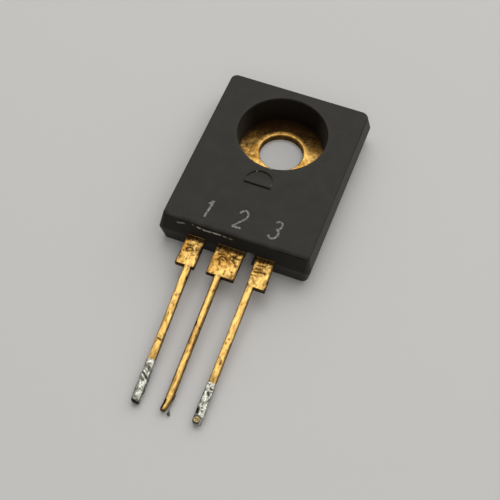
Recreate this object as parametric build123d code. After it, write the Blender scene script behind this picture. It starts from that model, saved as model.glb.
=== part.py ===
from build123d import *
import math
import os

# An npn power transistor in a flat moulded case, with a screw hole and three flat leads.
# Sizes are in millimetres and angles in degrees. The origin is on the axis of the screw
# hole at the back face. +Z points out of the front face, and the leads run towards -Y.

# Moulded case
case_width = 12.7
case_length = 16.1
case_thickness = 3.2
hole_to_far_end = 4.85
parting_height = 1.6
case_draft = 9.0
case_edge_bevel = 0.08

# Corner radii of the case, tighter at the parting line than at the front and back faces
far_left_radius = 0.5
far_right_radius = 0.45
near_left_radius = 0.2
near_right_radius = 0.2
far_left_face_radius = 0.55
far_right_face_radius = 0.65
near_left_face_radius = 0.5
near_right_face_radius = 0.5

# Recess for the screw head
recess_radius = 3.74
recess_draft = 4.5

# Mark left by a round ejector pin that was cut off along a chord and sits out of level
moon_radius = 1.16
moon_x = -0.1
moon_y = -5.4
moon_chord_y = -5.74
moon_rise = 0.05
moon_sink = 0.06

# Piece chipped out of the near edge between two leads, measured on the near face
chip_right = 1.87
chip_width = 0.85
chip_top = 2.08
chip_pitch = 31.0
chip_lean = 11.0
chip_rounding = 0.15

# Mounting plate, with a stepped edge that the case grips
plate_width = 9.6
plate_thickness = 0.65
plate_far_wall = 0.85
plate_near_wall = 1.35
plate_step_width = 0.45
plate_step_height = 0.3
plate_corner_radius = 0.6
hole_radius = 1.85
hole_lip_chamfer = 0.12

# Lead stock, and how far the leads reach out of the case
lead_thickness = 0.5
paddle_length = 2.7
lead_length = 14.2
tail_width = 0.58
tip_clearance = 0.13
tail_bend_radius = 3.0
shoulder_rounding = 0.08

# Left and right edges of each lead's wide part where it leaves the case and at its end,
# and the middle of its tail where it starts and at its tip, from the hole's axis
emitter_exit = (-3.82, -2.33)
emitter_end = (-3.83, -2.23)
emitter_tail = (-2.74, -2.22)
collector_exit = (-1.31, 1.01)
collector_end = (-1.25, 1.04)
collector_tail = (-0.24, 0.04)
base_exit = (1.95, 3.46)
base_end = (2.13, 3.63)
base_tail = (2.42, 2.62)

# Inner ends of the leads: bonding posts behind a locking neck, and the collector's foot
post_reach = 3.0
post_length = 1.3
post_width = 2.0
neck_length = 0.7
neck_width = 0.9
post_rounding = 0.15
joggle_start = 0.7
joggle_length = 0.8
joggle_radius = 0.4
foot_length = 1.1

# Silicon chip, its solder, the foot's solder and the drop of gel over the chip
die_size = 2.0
die_thickness = 0.25
die_gap = 1.1
die_solder_thickness = 0.05
die_solder_margin = 0.15
foot_solder_thickness = 0.05
foot_solder_margin = 0.25
foot_solder_height = 0.25
foot_solder_taper = 35.0
gel_radius = 1.75
gel_height = 0.85

# Bonding wires from the chip to the posts
emitter_wire_diameter = 0.38
base_wire_diameter = 0.25
wire_peak = 2.4
wire_foot_length = 0.55
wire_rise_length = 1.2
wire_bite = 0.05
wire_bend_radius = 0.8
wire_bend_steps = 2
pad_spacing = 1.0

# Old solder on the ends of the two outer leads: its length, and its skin from end to end
emitter_solder_length = 3.4
base_solder_length = 3.2
emitter_solder_skin = (0.05, 0.09, 0.06, 0.11, 0.07, 0.06)
base_solder_skin = (0.05, 0.11, 0.06, 0.1, 0.08, 0.05)
solder_overrun = 0.12
solder_end_shrink = 0.1
solder_corner_radius = 0.1

# Places that follow from the sizes
case_left = -case_width / 2
case_right = case_width / 2
case_far = hole_to_far_end
case_near = hole_to_far_end - case_length
lead_bottom = parting_height - lead_thickness / 2
lead_top = parting_height + lead_thickness / 2
paddle_end = case_near - paddle_length
lead_tip = case_near - lead_length
tip_middle = tip_clearance + lead_thickness / 2
post_far = case_near + post_reach
foot_near = case_near + joggle_start + joggle_length
foot_far = foot_near + foot_length
foot_middle = plate_thickness + foot_solder_thickness + lead_thickness / 2
die_y = foot_far + die_gap + die_size / 2
die_bottom = plate_thickness + die_solder_thickness
die_top = die_bottom + die_thickness


def span(left, right, near, far):
    """Rectangle in plan between four straight edges."""
    return Pos((left + right) / 2, (near + far) / 2) * Rectangle(right - left, far - near)


def middle_of(pair):
    return (pair[0] + pair[1]) / 2


def case_outline(height, radii, bevel=0.0):
    """Case outline at a height, drawn in by the draft and by the bevel round the front face,
    with its own radius on each corner."""
    inset = abs(height - bevel - parting_height) * math.tan(math.radians(case_draft)) + bevel
    outline = span(case_left + inset, case_right - inset, case_near + inset, case_far - inset)
    corners = ((case_left, case_far), (case_right, case_far), (case_left, case_near), (case_right, case_near))
    for corner, radius in zip(corners, radii):
        outline = fillet(outline.vertices().sort_by_distance((*corner, 0))[0], radius - bevel)
    return Pos(0, 0, height) * outline


def case_blank():
    """Case drafted both ways from the parting line, where its corners are tightest."""
    parting_radii = (far_left_radius, far_right_radius, near_left_radius, near_right_radius)
    face_radii = (far_left_face_radius, far_right_face_radius, near_left_face_radius, near_right_face_radius)
    outlines = [
        case_outline(0, face_radii),
        case_outline(parting_height, parting_radii),
        case_outline(case_thickness - case_edge_bevel, face_radii),
        case_outline(case_thickness, face_radii, case_edge_bevel),
    ]
    lower, upper, bevel = [loft(pair, ruled=True) for pair in zip(outlines, outlines[1:])]
    return lower + upper + bevel


def screw_head_recess():
    """Drafted round pocket from the front face down to the plate."""
    depth = case_thickness - plate_thickness
    floor_radius = recess_radius - depth * math.tan(math.radians(recess_draft))
    return Pos(0, 0, plate_thickness + depth / 2) * Cone(floor_radius, recess_radius, depth)


def half_moon_column(bottom, top):
    """Upright cut-off disc, straight towards the leads and round towards the recess."""
    reach = 2 * moon_radius
    disc = Pos(moon_x, moon_y) * Circle(moon_radius)
    kept = disc & span(moon_x - reach, moon_x + reach, moon_chord_y, moon_chord_y + reach)
    return Pos(0, 0, bottom) * extrude(kept, amount=top - bottom)


def half_moon_pad():
    """What stands in the half-moon's pocket: high at the straight edge, low at its back."""
    column = half_moon_column(case_thickness - moon_sink, case_thickness + moon_rise)
    reach = 4 * moon_radius
    tilt = math.degrees(math.atan2(moon_rise + moon_sink, moon_y + moon_radius - moon_chord_y))
    hinge = Pos(moon_x, moon_chord_y, case_thickness + moon_rise) * Rot(-tilt, 0, 0)
    return column - hinge * Pos(0, 0, reach / 2) * Box(reach, reach, reach)


def edge_chip():
    """What broke out of the near edge: a rounded wedge, deepest at the back face."""
    depth = 2 * chip_top
    length = 4 * chip_top
    block = Box(chip_width, depth, length)
    block = fillet(block.edges().filter_by(Axis.Z), chip_rounding)
    corner = Pos(chip_right, case_near, chip_top) * Rot(chip_pitch, chip_lean, 0)
    return corner * Pos(-chip_width / 2, -depth / 2, 0) * block


def plate_blank():
    """Plate before its hole is punched: the bare face below, the wider flange above."""
    step = plate_step_width
    flange = span(-plate_width / 2, plate_width / 2, case_near + plate_near_wall, case_far - plate_far_wall)
    flange = fillet(flange.vertices(), plate_corner_radius)
    face = offset(flange, -step)
    lower = extrude(face, amount=plate_step_height)
    upper = Pos(0, 0, plate_step_height) * extrude(flange, amount=plate_thickness - plate_step_height)
    return lower + upper


def mounting_plate():
    """Plated copper plate with the screw hole, whose front lip is bevelled by the punch."""
    plate = plate_blank() - Cylinder(hole_radius, 4 * plate_thickness)
    lip = plate.edges().filter_by(GeomType.CIRCLE).sort_by_distance((0, hole_radius, plate_thickness))[0]
    return chamfer(lip, hole_lip_chamfer)


def bent_sheet(points, radii):
    """Sheet of lead stock across the whole case, bent along points given as (y, z)."""
    path = FilletPolyline(*[(0, y, z) for y, z in points], radius=radii)
    start = Plane(origin=path @ 0, x_dir=(1, 0, 0), z_dir=path % 0)
    return sweep(start * Rectangle(2 * case_width, lead_thickness), path=path)


def outside_plan(exit_edges, end_edges, tail):
    """Plan of a lead outside the case: its wide part, its shoulders and its leaning tail."""
    half = tail_width / 2
    paddle = make_face(Polyline(
        (exit_edges[0], case_near),
        (end_edges[0], paddle_end),
        (end_edges[1], paddle_end),
        (exit_edges[1], case_near),
        close=True,
    ))
    ledges = ((end_edges[0], tail[0] - half), (end_edges[1], tail[0] + half))
    for corner, side in ledges:
        if abs(corner - side) > 2 * shoulder_rounding:
            paddle = fillet(paddle.vertices().sort_by_distance((corner, paddle_end, 0))[0], shoulder_rounding)
    strip = make_face(Polyline(
        (tail[0] - half, paddle_end),
        (tail[1] - half, lead_tip),
        (tail[1] + half, lead_tip),
        (tail[0] + half, paddle_end),
        close=True,
    ))
    return paddle + strip


def cut_from(sheet, plan):
    """Piece of a bent sheet that lies within a plan outline."""
    return (extrude(plan, amount=case_thickness) & sheet).solid()


def outer_lead(exit_edges, end_edges, tail):
    """Base or emitter lead: bonding post, locking neck, wide part and sloping tail."""
    middle = middle_of(exit_edges)
    post_near = post_far - post_length
    shank_far = post_near - neck_length
    post = span(middle - post_width / 2, middle + post_width / 2, post_near, post_far)
    post = fillet(post.vertices(), post_rounding)
    neck = span(middle - neck_width / 2, middle + neck_width / 2, shank_far, post_near)
    shank = span(exit_edges[0], exit_edges[1], case_near, shank_far)
    plan = post + neck + shank + outside_plan(exit_edges, end_edges, tail)
    sheet = bent_sheet(
        [(post_far, parting_height), (paddle_end, parting_height), (lead_tip, tip_middle)],
        tail_bend_radius,
    )
    return cut_from(sheet, plan)


def collector_lead():
    """Middle lead: its inner end is stepped down so that a foot lies on the plate."""
    plan = span(collector_exit[0], collector_exit[1], case_near, foot_far)
    plan = plan + outside_plan(collector_exit, collector_end, collector_tail)
    sheet = bent_sheet(
        [
            (foot_far, foot_middle),
            (foot_near, foot_middle),
            (foot_near - joggle_length, parting_height),
            (paddle_end, parting_height),
            (lead_tip, tip_middle),
        ],
        [joggle_radius, joggle_radius, tail_bend_radius],
    )
    return cut_from(sheet, plan)


def silicon_die():
    """Square chip of silicon on its solder, in the middle of the plate's width."""
    return Pos(0, die_y, die_bottom + die_thickness / 2) * Box(die_size, die_size, die_thickness)


def die_solder():
    """Thin sheet of solder under the chip, a little wider than the chip."""
    size = die_size + 2 * die_solder_margin
    return Pos(0, die_y, plate_thickness + die_solder_thickness / 2) * Box(size, size, die_solder_thickness)


def collector_solder(lead):
    """Solder under and round the collector's foot."""
    margin = foot_solder_margin
    plan = span(collector_exit[0] - margin, collector_exit[1] + margin, foot_near, foot_far + margin)
    mound = extrude(plan, amount=foot_solder_height, taper=foot_solder_taper)
    return Pos(0, 0, plate_thickness) * mound - lead


def round_wire(points, diameter):
    """Round wire along a bent line, with each bend taken in a few short straight steps."""
    corners = []
    for edge in FilletPolyline(*points, radius=wire_bend_radius).edges():
        steps = 1 if edge.geom_type == GeomType.LINE else wire_bend_steps
        corners += [edge @ (step / steps) for step in range(steps)]
    path = Polyline(*corners, points[-1])
    section = Plane(origin=path @ 0, z_dir=path % 0) * Circle(diameter / 2)
    return sweep(section, path=path, transition=Transition.RIGHT)


def bonding_wire(pad, post, diameter, die, lead):
    """Wire that lies flat on the chip, arches up over its edge and comes down to the post."""
    across = Vector(*post) - Vector(*pad)
    away = across.normalized()
    start = Vector(*pad) - away * (wire_foot_length / 2)
    run = across.length + wire_foot_length
    lift = diameter / 2 - wire_bite
    points = [
        start + Vector(0, 0, die_top + lift),
        start + away * wire_foot_length + Vector(0, 0, die_top + lift),
        start + away * (wire_foot_length + wire_rise_length) + Vector(0, 0, wire_peak),
        start + away * (run - wire_foot_length) + Vector(0, 0, lead_top + lift),
        start + away * run + Vector(0, 0, lead_top + lift),
    ]
    return round_wire(points, diameter) - die - lead


def junction_gel(covered):
    """Low dome of soft gel over the chip and the feet of the wires."""
    ball_radius = (gel_radius ** 2 + gel_height ** 2) / (2 * gel_height)
    ball = Pos(0, die_y, plate_thickness + gel_height - ball_radius) * Sphere(ball_radius)
    above = Pos(0, die_y, plate_thickness + gel_height) * Box(4 * gel_radius, 4 * gel_radius, 2 * gel_height)
    return (ball & above) - covered


def lead_end_solder(tail, length, skin, lead):
    """Uneven skin of solder on the end of a tail, thickest at its lumps, closed by a cap."""
    top = Vector(tail[0], paddle_end, parting_height)
    tip = Vector(tail[1], lead_tip, tip_middle)
    down = (tip - top).normalized()

    def section(along, thickness):
        plane = Plane(origin=tip + down * along, x_dir=(1, 0, 0), z_dir=down)
        outline = RectangleRounded(tail_width + 2 * thickness, lead_thickness + 2 * thickness, solder_corner_radius)
        return plane * outline

    spacing = length / (len(skin) - 1)
    rings = [section(spacing * number - length, thickness) for number, thickness in enumerate(skin)]
    sleeve = loft(rings, ruled=True)
    cap = loft([section(0, skin[-1]), section(solder_overrun, skin[-1] - solder_end_shrink)])
    return sleeve + cap - lead


def moulded_case(inserts):
    """Case moulded round everything that it holds."""
    blank = case_blank() - screw_head_recess()
    blank = blank - half_moon_column(case_thickness - moon_sink, case_thickness) + half_moon_pad()
    blank = blank - edge_chip() - plate_blank()
    for insert in inserts:
        blank = blank - insert
    return blank


emitter_lead = outer_lead(emitter_exit, emitter_end, emitter_tail)
base_lead = outer_lead(base_exit, base_end, base_tail)
middle_lead = collector_lead()
plate = mounting_plate()
die = silicon_die()
die_bond = die_solder()
foot_bond = collector_solder(middle_lead)

post_y = post_far - post_length / 2
emitter_wire = bonding_wire(
    (-pad_spacing / 2, die_y), (middle_of(emitter_exit), post_y), emitter_wire_diameter, die, emitter_lead
)
base_wire = bonding_wire(
    (pad_spacing / 2, die_y), (middle_of(base_exit), post_y), base_wire_diameter, die, base_lead
)
gel = junction_gel(die + die_bond + emitter_wire + base_wire)
emitter_solder = lead_end_solder(emitter_tail, emitter_solder_length, emitter_solder_skin, emitter_lead)
base_solder = lead_end_solder(base_tail, base_solder_length, base_solder_skin, base_lead)
inserts = [emitter_lead, base_lead, middle_lead, foot_bond, die_bond, die, emitter_wire, base_wire, gel]
case = moulded_case(inserts)

pieces = {
    "moulded_case": case,
    "mounting_plate": plate,
    "collector_lead": middle_lead,
    "emitter_lead": emitter_lead,
    "base_lead": base_lead,
    "silicon_die": die,
    "die_solder": die_bond,
    "collector_solder": foot_bond,
    "emitter_wire": emitter_wire,
    "base_wire": base_wire,
    "junction_gel": gel,
    "emitter_end_solder": emitter_solder,
    "base_end_solder": base_solder,
}

os.makedirs("parts", exist_ok=True)
for name, piece in pieces.items():
    export_step(piece, f"parts/{name}.step")
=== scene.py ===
import math

import bmesh
import bpy
import numpy as np
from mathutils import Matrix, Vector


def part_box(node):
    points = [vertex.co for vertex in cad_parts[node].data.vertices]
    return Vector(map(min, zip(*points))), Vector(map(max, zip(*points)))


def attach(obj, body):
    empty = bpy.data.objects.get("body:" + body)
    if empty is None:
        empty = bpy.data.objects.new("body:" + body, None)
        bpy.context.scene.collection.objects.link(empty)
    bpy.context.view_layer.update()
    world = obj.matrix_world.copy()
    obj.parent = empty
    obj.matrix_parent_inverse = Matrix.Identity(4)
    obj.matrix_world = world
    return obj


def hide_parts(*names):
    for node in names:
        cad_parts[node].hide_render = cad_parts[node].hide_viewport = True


# A flat npn power transistor, dressed in the order in which it is put together: plate, chip,
# leads, wires, gel, case, ink and the old solder that unsoldering left on the lead ends.
# Sizes are in millimetres until a mesh is made.

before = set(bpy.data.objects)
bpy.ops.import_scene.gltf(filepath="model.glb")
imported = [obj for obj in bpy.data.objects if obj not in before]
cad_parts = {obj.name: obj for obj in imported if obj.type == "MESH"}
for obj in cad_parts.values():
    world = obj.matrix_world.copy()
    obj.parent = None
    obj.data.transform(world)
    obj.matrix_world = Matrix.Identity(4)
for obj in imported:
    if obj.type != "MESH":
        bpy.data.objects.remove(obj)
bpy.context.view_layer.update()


# Mounting plate
# Copper stamped with a stepped edge and plated with gold over nickel. The chip is soldered to
# it, so it is the collector too, and its back face stays bare to lie against a heat sink.

MM = 0.001
hole_radius = 1.85
lip_bevel = 0.12
plate_step_width = 0.45
plate_step_height = 0.3
plate_corner_radius = 0.6
plate_dent_depth = 0.008
face_rows, back_rows, hole_rows = 43, 39, 9
crease_angle = 38
slack = 1e-6
bright_gold = (0.76, 0.475, 0.14)
deep_gold = (0.46, 0.235, 0.045)
# The brown of tarnish, and of painted shade, on the gold.
tarnish_and_shade_brown = (0.045, 0.021, 0.007)


def box_of(node):
    """Lowest and highest corner of a node, in millimetres."""
    low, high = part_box(node)
    return np.array(low) / MM, np.array(high) / MM


def held(value):
    """Value held between 0 and 1."""
    return np.clip(value, 0, 1)


def once_round(count):
    """This many even angles once round."""
    return np.linspace(0, 2 * np.pi, count + 1)[:-1]


def bumps(points, size, seed):
    """Smooth random heights from -1 to 1 with bumps of about this size: random numbers stand on
    the corners of a cubic lattice and are blended by three t squared less two t cubed."""
    table = np.random.default_rng(seed).uniform(-1, 1, 4096)
    scaled = points / size
    corner = np.floor(scaled).astype(np.int64)
    share = scaled - corner
    share = share * share * (3 - 2 * share)
    height = np.zeros(points.shape[:-1])
    for step in np.ndindex(2, 2, 2):
        place = (corner + step) * [73856093, 19349663, 83492791]
        number = np.bitwise_xor.reduce(place, axis=-1) & 4095
        height += table[number] * np.prod(np.where(np.array(step) == 1, share, 1 - share), axis=-1)
    return height


def stroke(x, y, points, width):
    """Bell-shaped mark along a bent line: the exponential of minus the squared distance from
    the line over the squared width."""
    nearest = np.full(x.shape, np.inf)
    for (x0, y0), (x1, y1) in zip(points, points[1:] + points[-1:]):
        run = max((x1 - x0) ** 2 + (y1 - y0) ** 2, 1e-9)
        share = held(((x - x0) * (x1 - x0) + (y - y0) * (y1 - y0)) / run)
        gap = (x - x0 - share * (x1 - x0)) ** 2 + (y - y0 - share * (y1 - y0)) ** 2
        nearest = np.minimum(nearest, gap)
    return np.exp(-nearest / width ** 2)


def marked(marks, x, y, height, stain_and_shade, uneven=1):
    """Height, and stain and painted shade, with marks worked in. Each is a stroke given by its depth,
    how dark it is, its width and its line, and is uneven unless it is fully dark."""
    for depth, dark, width, points in marks:
        mark = stroke(x, y, points, width) * (uneven if dark < 1 else 1)
        height = height - depth * mark
        stain_and_shade = np.maximum(stain_and_shade, dark * mark)
    return height, stain_and_shade


def between(start, end, rows=2):
    """Curves on straight lines from one curve to another: this many, evenly, the last of them the
    other curve itself, or one at each of the shares that are given."""
    shares = np.linspace(0, 1, rows + 1)[1:] if isinstance(rows, int) else rows
    return start + (end - start) * shares[:, None, None]


def reach(angle, sides, radii):
    """Distance from the hole's axis to a rectangle with rounded corners, along each angle: the
    nearest side that the ray meets, or at a corner the far root of the ray and its circle."""
    left, right, near, far = sides
    across, along = np.cos(angle), np.sin(angle)
    across = np.where(abs(across) < 1e-9, 1e-9, across)
    along = np.where(abs(along) < 1e-9, 1e-9, along)
    to_side = np.where(across > 0, right, left) / across
    to_end = np.where(along > 0, far, near) / along
    edge = flat = np.minimum(to_side, to_end)
    corners = ((left, far), (right, far), (left, near), (right, near))
    for (x, y), radius in zip(corners, radii):
        x_in, y_in = x - math.copysign(radius, x), y - math.copysign(radius, y)
        beyond = ((flat * across - x_in) * np.sign(x) > 0) & ((flat * along - y_in) * np.sign(y) > 0)
        toward = across * x_in + along * y_in
        root = toward ** 2 - x_in ** 2 - y_in ** 2 + radius ** 2
        edge = np.where(beyond, toward + np.sqrt(np.maximum(root, 0)), edge)
    return edge


def ring(angle, distance, height):
    """Closed curve round the hole's axis: the cosine and sine of each angle times its distance,
    and its height."""
    distance = np.broadcast_to(distance, angle.shape)
    height = np.broadcast_to(height, angle.shape)
    return np.stack([distance * np.cos(angle), distance * np.sin(angle), height], axis=-1)


def rounded_lip(angle, radius, rounding, top):
    """Curves over the rounded edge of a hole: a quarter of a circle, from the wall of the hole
    up to the flat face round it."""
    return np.stack([
        ring(angle, radius + rounding * (1 - math.cos(a)), top - rounding * (1 - math.sin(a)))
        for a in np.linspace(0, math.pi / 2, 5)
    ])


def placed(name, data):
    """New object in the scene, at the origin."""
    thing = bpy.data.objects.new(name, data)
    bpy.context.scene.collection.objects.link(thing)
    return thing


def grid_piece(name, grid, finish, stands_for=(), marks=None, wrap=False):
    """Closed mesh of a grid of points. Columns run round and close on themselves. Rows close on
    themselves too if wrap is true, and otherwise each end is closed by one face."""
    rows, columns = grid.shape[:2]
    number = np.arange(rows * columns).reshape(rows, columns)
    ends = [] if wrap else [number[0].tolist(), number[-1, ::-1].tolist()]
    if wrap:
        number = np.vstack([number, number[:1]])
    number = np.hstack([number, number[:, :1]])
    corners = [number[:-1, :-1], number[1:, :-1], number[1:, 1:], number[:-1, 1:]]
    faces = np.stack(corners, axis=-1).reshape(-1, 4)
    mesh = bpy.data.meshes.new(name)
    mesh.from_pydata((grid.reshape(-1, 3) * MM).tolist(), [], faces.tolist() + ends)
    for mark, values in (marks or {}).items():
        layer = mesh.attributes.new(mark, "FLOAT", "POINT")
        layer.data.foreach_set("value", held(values).astype(np.float32).ravel())
    outward = bmesh.new()
    outward.from_mesh(mesh)
    bmesh.ops.recalc_face_normals(outward, faces=outward.faces)
    outward.to_mesh(mesh)
    outward.free()
    mesh.shade_smooth()
    mesh.set_sharp_from_angle(angle=math.radians(crease_angle))
    mesh.materials.append(finish)
    piece = placed(name, mesh)
    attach(piece, "root")
    if stands_for:
        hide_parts(*stands_for)


class Finish:
    """Node material that is put together socket by socket, with sizes in millimetres."""

    def __init__(self, name, metallic=0, roughness=0.5, colour=(0.5, 0.5, 0.5)):
        self.material = bpy.data.materials.new(name)
        self.material.use_nodes = True
        self.tree = self.material.node_tree
        self.shader = self.tree.nodes["Principled BSDF"]
        self.shader.inputs["Metallic"].default_value = metallic
        self.shader.inputs["Roughness"].default_value = roughness
        self.shader.inputs["Base Color"].default_value = (*colour, 1)
        self.place = self.node("TexCoord").outputs["Object"]

    def node(self, kind):
        """New node of this kind."""
        return self.tree.nodes.new("ShaderNode" + kind)

    def join(self, output, socket):
        """Link from one node's output to another's socket."""
        self.tree.links.new(output, socket)

    def set(self, name, output):
        """Link to one of the shader's own sockets."""
        self.join(output, self.shader.inputs[name])

    def grain(self, size, detail, stretch=(1, 1, 1)):
        """Noise with features of about this size, drawn out along an axis by a small factor."""
        scale = self.node("Mapping")
        scale.inputs["Scale"].default_value = stretch
        self.join(self.place, scale.inputs["Vector"])
        noise = self.node("TexNoise")
        noise.inputs["Scale"].default_value = 1 / (size * MM)
        noise.inputs["Detail"].default_value = detail
        self.join(scale.outputs["Vector"], noise.inputs["Vector"])
        return noise.outputs["Fac"]

    def painted(self, mark):
        """Value that the mesh carries under this name."""
        node = self.node("Attribute")
        node.attribute_name = mark
        return node.outputs["Fac"]

    def spread(self, value, low, high, to_low=0, to_high=1):
        """Value stretched from one range to another, held at its ends."""
        node = self.node("MapRange")
        for number, limit in enumerate((low, high, to_low, to_high), 1):
            node.inputs[number].default_value = limit
        self.join(value, node.inputs[0])
        return node.outputs[0]

    def sum_of(self, first, second):
        """Sum of two values, held between 0 and 1. A new Math node adds."""
        node = self.node("Math")
        node.use_clamp = True
        self.join(first, node.inputs[0])
        self.join(second, node.inputs[1])
        return node.outputs[0]

    def coats(self, colour, *coats):
        """Base colour: a colour, and coats of others over it, each as dense as its value."""
        under = None
        for value, coat in coats:
            node = self.node("Mix")
            node.data_type = "RGBA"
            node.inputs[6].default_value = (*colour, 1)
            node.inputs[7].default_value = (*coat, 1)
            self.join(value, node.inputs["Factor"])
            if under:
                self.join(under, node.inputs[6])
            under = node.outputs[2]
        self.set("Base Color", under)

    def relief(self, height, depth, strength, under=None):
        """Bump of this depth, on top of another one if it is given."""
        node = self.node("Bump")
        node.inputs["Strength"].default_value = strength
        node.inputs["Distance"].default_value = depth * MM
        self.join(height, node.inputs["Height"])
        if under:
            self.join(under, node.inputs["Normal"])
        return node.outputs["Normal"]


def gold_plate(name, cloud_size, drawn_out, shine, fine_grime):
    """Old gold plate: clouds from bright to deep gold, bright where the mesh is marked as rubbed, brown
    where it is marked with tarnish and painted shade, fine grime in random specks and in lines along the
    way it was drawn, shallow dents, and a polish that is uneven."""
    gold = Finish(name, metallic=1)
    half_drawn = (1, math.sqrt(drawn_out), 1)
    clouds = gold.grain(cloud_size, 3, half_drawn)
    specks = gold.grain(0.16, 4, half_drawn)
    lines = gold.grain(0.07, 3, (1, drawn_out, 1))
    rubbed = gold.sum_of(gold.spread(clouds, 0.36, 0.62), gold.painted("rubbed"))
    darkening = gold.spread(lines, 0.48, 0.72, 0, fine_grime)
    darkening = gold.sum_of(gold.spread(specks, 0.56, 0.8, 0, 2 * fine_grime), darkening)
    tarnish_grime_and_shade = gold.sum_of(gold.painted("tarnish_and_shade"), darkening)
    gold.coats(deep_gold, (rubbed, bright_gold), (tarnish_grime_and_shade, tarnish_and_shade_brown))
    polish = gold.spread(specks, 0.3, 0.7, *shine)
    gold.set("Roughness", gold.sum_of(polish, gold.spread(tarnish_grime_and_shade, 0, 1, 0, 0.3)))
    dented = gold.relief(gold.grain(0.2, 3, half_drawn), 0.035, 0.7)
    gold.set("Normal", gold.relief(lines, 0.006, 0.3, dented))
    return gold.material


plate_low, plate_high = box_of("mounting_plate")
plate_top = plate_high[2]
flange = (plate_low[0], plate_high[0], plate_low[1], plate_high[1])
bare_face = tuple(side - math.copysign(plate_step_width, side) for side in flange)
bare_radius = plate_corner_radius - plate_step_width


def stepped_edge(angle):
    """Curves round the plate's stepped edge: at the front face, outside and inside the step, and
    at the back face."""
    flange_reach = reach(angle, flange, (plate_corner_radius,) * 4)
    face_reach = reach(angle, bare_face, (bare_radius,) * 4)
    outer = [ring(angle, flange_reach, height) for height in (plate_top, plate_step_height)]
    return outer + [ring(angle, face_reach, height) for height in (plate_step_height, 0)]


turn = once_round(360)
shoulder, step_out, step_in, back_edge = stepped_edge(turn)
back_mouth = ring(turn, hole_radius, 0)
lip = rounded_lip(turn, hole_radius, lip_bevel, plate_top)
plate_grid = np.concatenate([
    lip,
    between(lip[-1], shoulder, face_rows),
    between(shoulder, step_out),
    between(step_out, step_in),
    between(step_in, back_edge),
    between(back_edge, back_mouth, back_rows),
    between(back_mouth, lip[0], hole_rows)[:-1],
])
x, y, z = np.moveaxis(plate_grid, -1, 0)
on_front = z > plate_top - slack
ring_marks = [
    (0.05, 0.9, 0.13, [(-2.97, -0.31), (-3.15, -0.1)]),
    (-0.04, 0, 0.1, [(-2.9, 0.02)]),
    (0.03, 0.6, 0.11, [(-2.51, -0.9)]),
    (0.03, 0.6, 0.09, [(-2.09, -1.1)]),
    (0.03, 0.5, 0.09, [(-2.6, -0.35)]),
    (0.04, 0.6, 0.12, [(2.95, 1.25)]),
    (0.03, 0.45, 0.12, [(2.27, 1.13)]),
    (0.03, 0.45, 0.13, [(2.82, 0.58)]),
    (0.03, 0.4, 0.1, [(1.43, 1.81)]),
    (0.02, 0.4, 0.3, [(2.69, 2.2)]),
]
dents = plate_dent_depth * (bumps(plate_grid, 0.5, 1) + 0.6 * bumps(plate_grid, 0.22, 2))

# Painted shade and a painted reflection of the recess's far wall make the ring's far part evenly dark
# brown. Tarnish lies in patches nearer. The ring darkens a little towards the wall, its outer right is
# painted darker as shade, and the hole's lip is left clean.
from_lip = np.hypot(x, y) - hole_radius - lip_bevel
shaded = held((y + 0.1 - 0.22 * x) / (1.6 - 0.2 * x)) * held((from_lip - 0.02) / 0.3)
stain_and_shade = 0.84 + 0.03 * bumps(plate_grid, 0.4, 5) + 0.1 * held(y - 1.2)
stain_and_shade = (stain_and_shade - 0.3 * held((x - 1.2) / 1.5)) * shaded ** 0.9
patches = held(bumps(plate_grid, 0.25, 3) + 0.1 - 0.15 * x) * (1 - 0.85 * shaded)
stain_and_shade += 0.45 * patches * held(from_lip / 0.4)
stain_and_shade += 0.1 * held(from_lip / 1.6) ** 2
# Painted shade darkens the outer right of the ring.
right_part = held((x - 1.2) / 1.2) * (y > -1.2)
stain_and_shade += 0.15 * right_part * held((from_lip - 0.35) / 0.6)
dents, stain_and_shade = marked(ring_marks, x, y, dents, stain_and_shade)
plate_grid[..., 2] += np.where(on_front, dents, 0)
stain_and_shade = np.where(on_front, stain_and_shade, 0.15 * held(bumps(plate_grid, 1.2, 4)))
# Painted shade darkens the hole's wall.
in_hole = (from_lip < -lip_bevel + slack) & (z > 0.05) & (z < plate_top - lip_bevel + slack)
stain_and_shade = np.where(in_hole, 0.82, stain_and_shade)
rubbed_back = np.where(z < slack, 0.75, 0)

plate_gold = gold_plate("plate_gold", cloud_size=0.55, drawn_out=0.5, shine=(0.32, 0.5), fine_grime=0.15)
grid_piece(
    "plate", plate_grid, plate_gold, ["mounting_plate"],
    {"tarnish_and_shade": stain_and_shade, "rubbed": rubbed_back}, wrap=True,
)


# Silicon chip and its solder
# A square of silicon diced from a wafer, with its collector on the underside. It is soldered to
# the plate, and the sheet of solder squeezes out a little all round it.


def cloud(finish, size, detail, low, high, dark, pale):
    """Colours a finish in clouds of about this size, from a dark colour where the noise is low to
    a pale one where it is high."""
    finish.coats(dark, (finish.spread(finish.grain(size, detail), low, high), pale))


def grit(finish, size, detail, depth, strength):
    """Roughens a finish with bumps of about this size."""
    finish.set("Normal", finish.relief(finish.grain(size, detail), depth, strength))


def refinish(node, finish):
    """Gives a node that stays as it is a material of its own."""
    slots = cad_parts[node].data.materials
    slots.clear()
    slots.append(finish.material)


silicon = Finish("silicon", metallic=0.35, roughness=0.22)
cloud(silicon, 0.6, 2, 0.35, 0.65, (0.05, 0.06, 0.09), (0.11, 0.12, 0.16))
grit(silicon, 0.05, 2, 0.002, 0.4)
soft_solder = Finish("soft_solder", metallic=1, roughness=0.4)
cloud(soft_solder, 0.25, 3, 0.3, 0.7, (0.33, 0.33, 0.31), (0.6, 0.6, 0.57))
grit(soft_solder, 0.2, 3, 0.01, 0.6)
soft_solder.set("Roughness", soft_solder.spread(soft_solder.grain(0.12, 3), 0.3, 0.7, 0.3, 0.55))
refinish("silicon_die", silicon)
refinish("die_solder", soft_solder)
refinish("collector_solder", soft_solder)


# Leads
# Stamped from gold-plated strip. Each has a wide part that the tie bars were cut from, which the
# cutting tool dented, and a narrow tail. The collector's inner end is stepped down to the plate,
# and the other two end in bonding posts behind a narrow neck that locks them in the case.

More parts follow.
